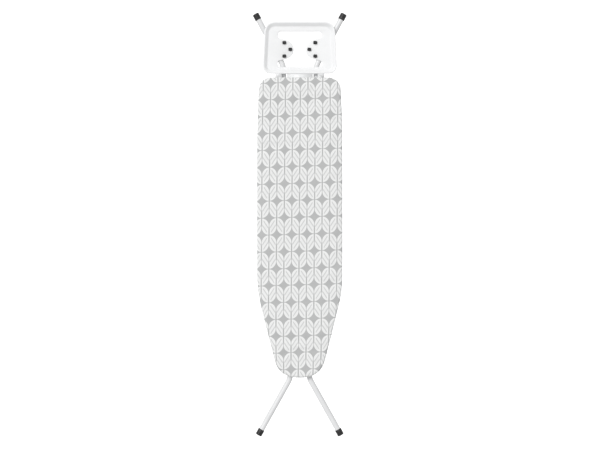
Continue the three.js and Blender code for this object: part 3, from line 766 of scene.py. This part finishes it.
def puff_cover(obj):
    """Cloth simulation: a little slack in the cloth lifts it off the pad and lets it settle unevenly."""
    start = np.array([vertex.co for vertex in obj.data.vertices])
    height = start[:, 2] - (COVER_TOP - TOP_SPAN)
    held = obj.vertex_groups.new(name="held")
    held.add(np.flatnonzero(height < 0).tolist(), 1.0, "REPLACE")
    cloth = obj.modifiers.new("puff", "CLOTH")
    settings = cloth.settings
    settings.quality = 5
    settings.mass = 0.25
    settings.tension_stiffness = 18
    settings.compression_stiffness = 18
    settings.bending_stiffness = 0.6
    settings.vertex_group_mass = "held"
    settings.use_pressure = True
    settings.uniform_pressure_force = 0.35
    settings.shrink_min = -0.012
    settings.effector_weights.gravity = 0
    cloth.collision_settings.use_collision = False
    scene = bpy.context.scene
    for number in range(1, PUFF_FRAMES + 1):
        scene.frame_set(number)
    settled = obj.evaluated_get(bpy.context.evaluated_depsgraph_get()).data
    shift = np.array([vertex.co for vertex in settled.vertices]) - start
    obj.modifiers.remove(cloth)
    obj.vertex_groups.clear()
    scene.frame_set(1)
    most_sideways, most_up, fade = 0.0015, 0.0040, 0.008
    shift[:, :2] = np.clip(shift[:, :2], -most_sideways, most_sideways)
    shift[:, 2] = np.clip(shift[:, 2], 0, most_up)
    free = np.flatnonzero(height > 0)
    start[free] += eased(start[free], shift[free]) * np.clip(height[free] / fade, 0, 1)[:, None]
    obj.data.vertices.foreach_set("co", start.ravel())


def eased(places, shift, radius=0.012):
    """Averages the shift over each vertex's neighbours, so that closely spaced vertices don't crumple."""
    tree = KDTree(len(places))
    for i, place in enumerate(places):
        tree.insert(place, i)
    tree.balance()
    soft = np.empty_like(shift)
    for i, place in enumerate(places):
        _, near, distances = zip(*tree.find_range(place, radius))
        weights = 1 - np.array(distances) / radius
        soft[i] = weights @ shift[list(near)] / weights.sum()
    return soft


def build_pad():
    """Foam and felt pad: a slab with soft edges under the cover."""
    bottom, top = low("pad")[2], high("pad")[2]
    edge = Edge(board_outline(0.008))
    inset, soft = 0.0022, 0.006
    dimples = 0.0003 * waves(len(edge.points), 21, 90, 140)
    rings = [lifted(cap, bottom) for cap in reversed(cap_rings(edge, inset + 0.002, SPINE, 8))]
    rings.append(edge.ring(inset + 0.002, bottom))
    rings.append(edge.ring(inset + np.abs(dimples), bottom + 0.001))
    for angle in quarter(7):
        rings.append(edge.ring(
            inset + np.abs(dimples) + soft * (1 - math.cos(angle)), top - soft * (1 - math.sin(angle))))
    rings += [lifted(cap, top) for cap in cap_rings(edge, inset + soft, SPINE, 8)]
    obj = skin("pad_foam", rings)
    stand_in(finish_surface(obj, 60), "pad")


LONG_WAY = 0.0170 # pitch of the mesh along the board
SHORT_WAY = 0.0092


def mesh_centres(limit):
    """Centres of the mesh openings that fit within an outline, row by row in a staggered pattern."""
    right = limit[limit[:, 0] >= 0]
    order = np.argsort(right[:, 1])
    heights, widths = right[order, 1], right[order, 0]
    rows = int((HEEL_Y - NOSE_Y) / LONG_WAY) + 2
    columns = int(2 * HALF_WIDTH / SHORT_WAY) + 2
    for r in range(2 * rows):
        y = NOSE_Y + r * LONG_WAY / 2
        below, above = y - LONG_WAY / 2, y + LONG_WAY / 2
        if below < heights[0] or above > heights[-1]:
            continue
        span = np.interp([below, y, above], heights, widths)
        for c in range(-columns // 2, columns // 2 + 1):
            x = (c + 0.5 * (r % 2)) * SHORT_WAY
            if abs(x) + SHORT_WAY / 2 <= span[1] and abs(x) <= min(span[0], span[2]):
                yield x, y


def build_mesh_panel():
    """Expanded steel mesh: diamond openings with tilted strands, and a plain border under the edge."""
    z = middle("mesh_panel")[2] - 0.0001
    opening, tilt, steel = 0.70, 0.00035, 0.0007
    edge = Edge(board_outline(0.006))
    points, faces = [], []
    for x, y in mesh_centres(edge.points + edge.normals * 0.004):
        base = len(points)
        for scale, lift in ((1.0, 0.0), (opening, tilt)):
            reach_x, reach_y = SHORT_WAY / 2 * scale, LONG_WAY / 2 * scale
            points += [(x + reach_x, y, z), (x, y + reach_y, z + lift)]
            points += [(x - reach_x, y, z), (x, y - reach_y, z - lift)]
        faces += grid_faces(2, 4, start=base)
    faces += grid_faces(2, len(edge.points), start=len(points))
    for inset in (0.0025, 0.0075):
        points += list(edge.ring(inset, z - 0.0002))
    obj = make_object("expanded_mesh", points, faces)
    with editing(obj) as edit:
        merge_doubles(edit, 1e-5)
    thicken(obj, steel)
    stand_in(obj, "mesh_panel")


def build_edge_frame():
    """Folded steel edge: an upright wall with a rolled top and a flange turned in below."""
    bottom, top = low("edge_frame")[2], high("edge_frame")[2]
    edge = Edge(board_outline(0.006))
    sheet = 0.0016
    inset = HALF_WIDTH - high("edge_frame")[0]
    flange = 0.0160
    wall = [(0.0012, bottom), (0.0003, bottom + 0.0004), (0, bottom + 0.0012), (0, top - 0.0006)]
    wall += [(0.0005, top), (sheet - 0.0005, top), (sheet, top - 0.0006)]
    shelf = bottom + sheet
    fold = [(sheet, shelf + 0.0018), (sheet + 0.0006, shelf + 0.0005), (sheet + 0.0018, shelf)]
    fold += [(flange - 0.0005, shelf), (flange, shelf - 0.0005), (flange, bottom + 0.0004)]
    fold += [(flange - 0.0005, bottom)]
    rings = [edge.ring(inset + inward, z) for inward, z in wall + fold]
    obj = finish_surface(skin("folded_edge", rings, closed=True))
    half, rise = NECK_HALF + 0.0003, 0.0013
    cut_box(obj, (-half, HEEL_Y - 0.005, NECK_Z - rise), (half, HEEL_Y, NECK_Z + rise))
    stand_in(finish_surface(obj), "edge_frame")


# ------------------------------------------------------------------ iron rest

def rest_outline(spacing):
    far_y, near_y = high("iron_rest")[1], HEEL_Y + 0.016
    far_half, near_half, far_corner, near_corner = 0.140, 0.150, 0.046, 0.037

    def side_x(y):
        return far_half + (near_half - far_half) * (far_y - y) / (far_y - near_y)

    half = [(0, far_y), (far_half - far_corner, far_y)]
    far_side = far_y - far_corner
    half += bezier([half[-1], (far_half, far_y), (side_x(far_side), far_side)], 14)
    near_side = near_y + near_corner
    half.append((side_x(near_side), near_side))
    half += bezier([half[-1], (near_half, near_y), (near_half - near_corner, near_y)], 14)
    half.append((0, near_y))
    return mirrored_outline(half, spacing)


def rest_opening_outline(spacing):
    y = middle("rest_knob_left_tip")[1]
    top, bottom, tip = y + 0.072, y - 0.071, 0.025
    half = [(0, top), (0.074, top)]
    half += bezier([half[-1], (0.088, top), (0.088, top - 0.014)], 8)
    half += bezier([half[-1], (0.088, y + 0.044), (0.074, y + 0.042)], 8)
    half += bezier([half[-1], (0.042, y + 0.038), (tip, y + 0.023), (tip, y)], 16)
    half += bezier([half[-1], (tip, y - 0.023), (0.042, y - 0.038), (0.074, y - 0.042)], 16)
    half += bezier([half[-1], (0.090, y - 0.044), (0.090, y - 0.057)], 8)
    half += bezier([half[-1], (0.090, bottom), (0.076, bottom)], 8)
    half.append((0, bottom))
    return mirrored_outline(half, spacing)


def fill_between(points, loops):
    """Triangles between an outer loop and its holes, given as lists of point indexes."""
    rings = [[Vector((*points[i][:2], 0)) for i in loop] for loop in loops]
    order = [i for loop in loops for i in loop]
    return [tuple(order[i] for i in triangle) for triangle in tessellate_polygon(rings)]


def build_iron_rest():
    """Pressed tray: rolled lip, sloped wall, flat floor with a turned edge round its opening, and a neck."""
    floor, lip_top = low("iron_rest")[2], high("iron_rest")[2]
    sheet = 0.0016
    base = floor + 0.0020 - sheet / 2
    top = lip_top - sheet / 2
    edge = Edge(rest_outline(0.004))
    count = len(edge.points)
    profile = [(0.0008, top - 0.0028), (0.0008, top - 0.0012), (0.0014, top - 0.0003), (0.0026, top)]
    profile += [(0.0044, top), (0.0057, top - 0.0003), (0.0067, top - 0.0012)]
    profile += [(0.0158, base + 0.0016), (0.0170, base + 0.0005), (0.0186, base), (0.0230, base)]
    points = [point for station in profile for point in edge.ring(*station)]
    faces = grid_faces(len(profile), count)
    inner_loop = list(range(len(points) - count, len(points)))

    hole = Edge(rest_opening_outline(0.003))
    hole_loop = list(range(len(points), len(points) + len(hole.points)))
    turned_edge = [(-0.0024, 0), (-0.0010, 0.0003), (-0.0002, 0.0011), (0.0, 0.0016)]
    faces += grid_faces(len(turned_edge), len(hole_loop), start=len(points))
    for inset, drop in turned_edge:
        points += list(hole.ring(inset, base - drop))
    faces += fill_between(points, [inner_loop, hole_loop[::-1]])
    faces += neck_faces(points)
    obj = make_object("iron_rest_tray", points, faces)
    with editing(obj) as edit:
        merge_doubles(edit, 1e-6)
        bmesh.ops.recalc_face_normals(edit, faces=edit.faces)
    smooth_faces(obj)
    obj.data.set_sharp_from_angle(angle=math.radians(50))
    thicken(obj, sheet)
    stand_in(obj, "iron_rest")


def rounded_rectangle(x0, x1, y0, y1, radius, steps=5):
    points = []
    for cx, cy, start in ((x1 - radius, y1 - radius, 90), (x1 - radius, y0 + radius, 0),
                          (x0 + radius, y0 + radius, -90), (x0 + radius, y1 - radius, 180)):
        for step in range(steps + 1):
            angle = math.radians(start - 90 * step / steps)
            points.append((cx + radius * math.cos(angle), cy + radius * math.sin(angle)))
    return points


def rectangle(x0, x1, y0, y1):
    return [(x1, y1), (x1, y0), (x0, y0), (x0, y1)]


def flat_sheet(points, z, outline, holes):
    """Adds a level sheet with holes to the points, and returns its triangles."""
    loops = []
    for loop in [outline] + [hole[::-1] for hole in holes]:
        loops.append(list(range(len(points), len(points) + len(loop))))
        points += [(x, y, z) for x, y in loop]
    return fill_between(points, loops)


def neck_faces(points):
    """The neck: a strip with a window near each end, a step down, and a foot with two screw holes."""
    foot_z = 0.0312
    far, step, near = HEEL_Y + 0.022, HEEL_Y - 0.007, low("iron_rest")[1]
    screw_x, screw_y = middle("rest_screw_right")[:2]
    windows = []
    holes = []
    for side in SIDES.values():
        x = side * 0.062
        windows.append(rounded_rectangle(x - 0.010, x + 0.010, HEEL_Y + 0.0005, HEEL_Y + 0.015, 0.002))
        holes.append([(side * screw_x + dx, screw_y + dy) for dx, dy in ring(0.0024, 16)][::-1])
    faces = flat_sheet(points, NECK_Z, rectangle(-NECK_HALF, NECK_HALF, step, far), windows)
    faces += flat_sheet(points, foot_z, rectangle(-NECK_HALF, NECK_HALF, near, step), holes)
    corner = len(points)
    points += [(x, step, z) for x in (-NECK_HALF, NECK_HALF) for z in (NECK_Z, foot_z)]
    return faces + [(corner, corner + 1, corner + 3, corner + 2)]


def silicone_stud(name, corner, opposite):
    """A rounded rectangular stud with a moulded foot, soft shoulders and a slightly dished top."""
    centre = (corner + opposite) / 2
    half_x, half_y = (opposite - corner)[:2] / 2
    h = opposite[2] - corner[2]
    levels = [(0.0004, 0), (0, 0.0004), (0, 0.0015), (0.0006, 0.0021), (0.0008, 0.0028)]
    shoulder = 0.0026
    for angle in quarter(7):
        levels.append((0.0008 + shoulder * (1 - math.cos(angle)), h - shoulder + shoulder * math.sin(angle)))
    levels.append((0.0048, h - 0.0004))
    rings = []
    for inset, z in levels:
        a, b = half_x - inset, half_y - inset
        loop = rounded_rectangle(-a, a, -b, b, min(0.0042, b * 0.8), steps=6)
        rings.append([(centre[0] + x, centre[1] + y, corner[2] + z) for x, y in loop])
    return finish_surface(skin(name, rings, capped=True), 60)


def build_rest_details():
    for side_name in SIDES:
        for place in ("far", "tip", "near"):
            node = f"rest_knob_{side_name}_{place}"
            stand_in(silicone_stud(f"silicone_{node}", low(node), high(node)), node)
        node = f"rest_screw_{side_name}"
        x, y, _ = middle(node)
        h = span(node)[2]
        profile = [(0, 0.0008), (0.0012, 0.0008), (0.0014, 0), (0.0032, 0.0002), (0.0046, 0.0010)]
        profile += [(0.005, 0.0018), (0.005, 0.0021), (0.002, 0.0021), (0.002, h - 0.003)]
        profile += [(0.0043, h - 0.003), (0.0045, h - 0.0028), (0.0045, h - 0.0004), (0.0040, h), (0, h)]
        stand_in(turned(f"turned_{node}", profile, (x, y, low(node)[2]), (0, 0, 1), 24), node)


# ------------------------------------------------------------------ legs

LEGS = {
    "outer": {"bend_y": 0.638, "foot": (0.1760, 0.8423)},
    "inner": {"bend_y": -0.617, "foot": (0.1638, -0.8423)},
}
BEND_RADIUS = 0.070


def leg_run(kind, side):
    """The corners of one leg's centre line, from its top end to its foot."""
    node = f"{kind}_leg_right"
    x = low(node)[0] + TUBE_RADIUS * math.cos(math.pi / 14)
    leg = LEGS[kind]
    foot_x, foot_y = leg["foot"]
    top_y = low(node)[1] if foot_y > 0 else high(node)[1]
    return [(side * x, top_y, LEG_Z), (side * x, leg["bend_y"], LEG_Z), (side * foot_x, foot_y, LEG_Z)]


def build_legs():
    for kind in LEGS:
        for side_name, side in SIDES.items():
            corners = leg_run(kind, side)
            path = bent(corners, BEND_RADIUS)
            tube = hollow_tube(f"{kind}_tube_{side_name}", path, TUBE_RADIUS, TUBE_WALL)
            # The tubes and braces take the darker copy of the white coat, which paints shade onto them.
            stand_in(tube, f"{kind}_leg_{side_name}", "leg_coat_painted_shade")
            build_foot(kind, side_name, Vector(corners[2]), Vector(corners[1]))
        node = f"{kind}_brace"
        reach = corners[0][0] - 0.0085
        y = middle(node)[1]
        radius = span(node)[2] / 2
        path = [Vector((x, y, LEG_Z)) for x in np.linspace(-reach, reach, 5)]
        tube = finish_surface(skin(f"{kind}_cross_tube", swept(path, ring(radius, 32))))
        stand_in(tube, node, "leg_coat_painted_shade")
    for side_name, side in SIDES.items():
        build_crossing(side_name, side)


def build_foot(kind, side_name, foot, bend):
    """Moulded cap with a rounded end, three grip ribs and a chamfered mouth."""
    inward = (bend - foot).normalized()
    start = foot - inward * 0.0043
    r, length = 0.013, 0.0265
    end_round = 0.0036
    profile = [(0, 0)]
    for angle in quarter(8):
        profile.append((r - end_round + end_round * math.sin(angle), end_round * (1 - math.cos(angle))))
    for groove in (0.0075, 0.0110, 0.0145):
        profile += [(r, groove - 0.0009), (r - 0.0007, groove - 0.0005), (r - 0.0007, groove + 0.0005)]
        profile += [(r, groove + 0.0009)]
    profile += [(r, length - 0.0022), (r - 0.0004, length - 0.0006), (r - 0.0010, length)]
    profile += [(TUBE_RADIUS + 0.0002, length), (TUBE_RADIUS + 0.0002, 0.006), (0, 0.006)]
    cap = turned(f"{kind}_cap_{side_name}", profile, start, inward, 48)
    stand_in(cap, f"{kind}_foot_{side_name}")


def turned_across(name, node, profile, side):
    """A turned stand-in for a node whose axis runs across the board, from its inner face outward."""
    inner = side * min(abs(low(node)[0]), abs(high(node)[0]))
    stand_in(turned(name, profile, (inner, middle(node)[1], LEG_Z), (side, 0, 0)), node)


def build_crossing(side_name, side):
    """Rivet, washer, hinge pin and glide of one side."""
    node = f"crossing_rivet_{side_name}"
    length = span(node)[0]
    dome = [(0.0075 * math.sin(a), 0.0024 * (1 - math.cos(a))) for a in quarter(6)]
    tail = [(r, length - h) for r, h in reversed(dome)]
    profile = dome + [(0.004, 0.0026), (0.004, length - 0.0026)] + tail
    turned_across(f"rivet_{side_name}", node, profile, side)

    node = f"crossing_washer_{side_name}"
    thick = span(node)[0]
    profile = [(0.0043, 0.0003), (0.0046, 0), (0.0094, 0), (0.010, 0.0006), (0.010, thick - 0.0006)]
    profile += [(0.0094, thick), (0.0046, thick), (0.0043, thick - 0.0003), (0.0043, 0.0003)]
    turned_across(f"washer_{side_name}", node, profile, side)

    node = f"hinge_pin_{side_name}"
    length = span(node)[0]
    profile = [(0, 0), (0.0044, 0), (0.005, 0.0006), (0.005, length - 0.0022)]
    profile += [(0.0078, length - 0.0022), (0.008, length - 0.0019), (0.008, length - 0.0010)]
    profile += [(0.0066, length - 0.0002), (0.0030, length), (0.0026, length - 0.0006), (0, length - 0.0006)]
    turned_across(f"pin_{side_name}", node, profile, side)

    node = f"glide_{side_name}"
    width, _, height = span(node)
    radius = height / 2
    profile = [(0.0062, 0.0003), (0.0065, 0), (radius - 0.0004, 0), (radius, 0.0004)]
    profile += [(radius, width - 0.0004), (radius - 0.0004, width), (0.0065, width)]
    profile += [(0.0062, width - 0.0003), (0.0062, 0.0003)]
    start = (low(node)[0], middle(node)[1], LEG_Z)
    stand_in(turned(f"sleeve_{side_name}", profile, start, (1, 0, 0)), node)


def build_slide_bar():
    node = "slide_bar"
    length = span(node)[0]
    r = 0.006
    profile = [(0, 0), (r - 0.0014, 0), (r - 0.0003, 0.0006), (r, 0.0016), (r, length - 0.0016)]
    profile += [(r - 0.0003, length - 0.0006), (r - 0.0014, length), (0, length)]
    start = (low(node)[0], middle(node)[1], LEG_Z)
    stand_in(turned("cross_slide_bar", profile, start, (1, 0, 0)), node)


# ------------------------------------------------------------------ latch and lever

def build_lever():
    node = "release_lever"
    _, y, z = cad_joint("release")["pos_m"]
    arm_x, _, grip_z = middle("lever_grip")
    end_y = low("lever_grip")[1] + 0.004
    corners = [(low(node)[0], y, z), (arm_x, y, z), (arm_x, y - 0.044, z), (arm_x, y - 0.074, grip_z)]
    corners.append((arm_x, end_y, grip_z))
    stand_in(rod("bent_wire_lever", bent(corners, 0.016), 0.004), node)

    node = "lever_grip"
    length = span(node)[1]
    profile = [(0, 0)] + [(0.0072 * math.sin(a), 0.0046 * (1 - math.cos(a))) for a in quarter(6)]
    ribs = 9
    first, last = 0.016, length - 0.014
    for rib in range(ribs):
        at = first + (last - first) * rib / (ribs - 1)
        profile += [(0.0074, at - 0.0028), (0.0066, at - 0.0014)]
        profile += [(0.0066, at + 0.0014), (0.0074, at + 0.0028)]
    profile += [(0.0075, length - 0.0060), (0.0068, length - 0.0012), (0.0058, length), (0.0042, length)]
    profile += [(0.0042, 0.0037), (0, 0.0037)]
    start = (arm_x, low(node)[1], grip_z)
    stand_in(turned("ribbed_grip", profile, start, (0, 1, 0)), node)

    node = "lever_spring"
    turns = 5
    x0 = low(node)[0] + 0.0008
    pitch = (span(node)[0] - 0.0016) / turns
    coil, steps = 0.0058, 24
    path = []
    for i in range(turns * steps + 1):
        angle = 2 * math.pi * i / steps
        place = (x0 + pitch * i / steps, y + coil * math.sin(angle), z + coil * math.cos(angle))
        path.append(Vector(place))
    stand_in(rod("torsion_spring", path, 0.0008, 10), node)


def dress_sheet_parts():
    """Pressed and cut steel parts keep their CAD shape, with small rounded edges."""
    names = ["hinge_strap", "middle_strap", "heel_strap", "hinge_bracket_left", "hinge_bracket_right",
             "slide_rail_left", "slide_rail_right", "lever_bracket", "latch_strip"]
    for name in names:
        obj = NODES[name]
        obj.data.materials.clear()
        obj.data.materials.append(MATERIALS[SLOT_OF[name]])
        weld = obj.modifiers.new("weld", "WELD")
        weld.merge_threshold = 1e-5
        bevel = obj.modifiers.new("edges", "BEVEL")
        bevel.width = 0.0004
        bevel.segments = 2
        bevel.limit_method = "ANGLE"
        bevel.angle_limit = math.radians(35)


# ------------------------------------------------------------------ assembly

MATERIALS = build_materials()
build_stage()
build_pad()
build_cover()
build_mesh_panel()
build_edge_frame()
build_iron_rest()
build_rest_details()
build_legs()
build_slide_bar()
build_lever()
dress_sheet_parts()
